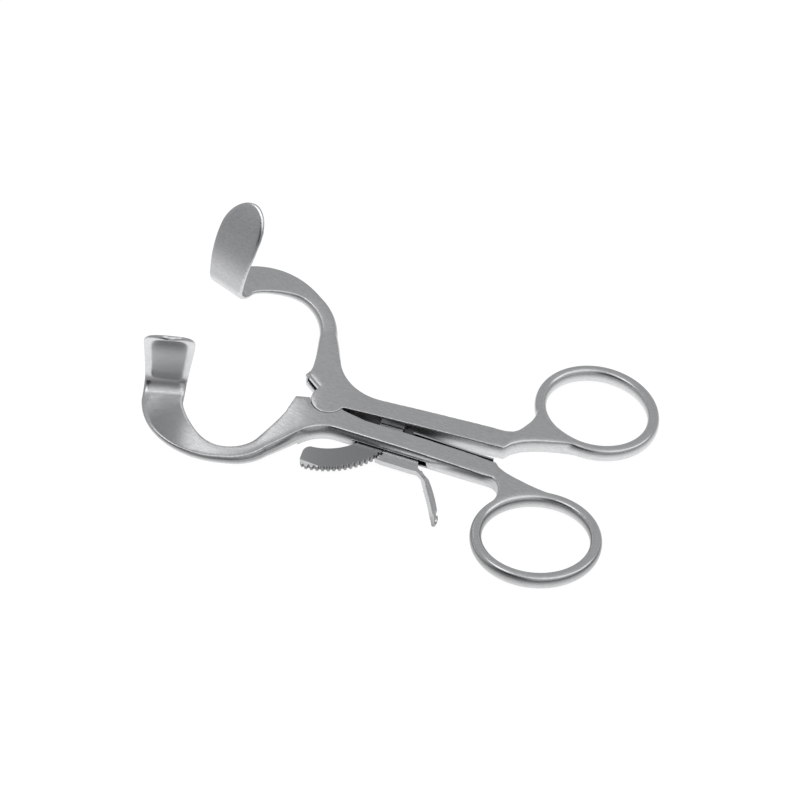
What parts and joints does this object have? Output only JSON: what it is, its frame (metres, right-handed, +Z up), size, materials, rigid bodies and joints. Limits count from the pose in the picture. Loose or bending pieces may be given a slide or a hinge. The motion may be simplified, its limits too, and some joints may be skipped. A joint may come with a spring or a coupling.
{
  "type": "ratchet mouth gag",
  "caption": "Self-retaining mouth gag: ring-handled steel arms on a boxed pivot carry hooked cheek blades, held apart by a curved rack and a sprung thumb-release pawl.",
  "frame": {"origin": "on the main pivot axis, in the flat underside on which the arms lie", "axes": "+X from the pivot towards the finger rings, +Y towards the far arm that carries the rack, +Z up along the pivot axis, the way the blades stand"},
  "size_m": [0.1213, 0.0721, 0.0394],
  "materials": {
    "arm_steel": "satin, fine-brushed forging with polished edges",
    "ratchet_steel": "satin, ground plate",
    "spring_steel": "smooth rolled strip",
    "fastener_steel": "satin, ground flush"
  },
  "bodies": {
    "near_side": {"near_arm": "arm_steel", "pawl_pin": "fastener_steel", "leaf_spring": "spring_steel", "spring_screw": "fastener_steel"},
    "far_side": {"far_arm": "arm_steel", "pivot_pin": "fastener_steel", "ratchet_rack": "ratchet_steel", "rack_rivets": "fastener_steel"},
    "pawl": {"release_pawl": "ratchet_steel"}
  },
  "joints": [
    {"name": "jaw_pivot", "type": "hinge", "parent": "near_side", "child": "far_side", "pos_m": [0, 0, 0], "axis": [0, 0, 1], "range_deg": [-4, 44]},
    {"name": "pawl_pivot", "type": "hinge", "parent": "near_side", "child": "pawl", "pos_m": [0.0229, -0.00598, 0], "axis": [0, 0, 1], "range_deg": [-6.5, 9], "stiffness_Nm_per_rad": 0.05, "springref_deg": -6.5, "deforming": ["leaf_spring"]}
  ]
}
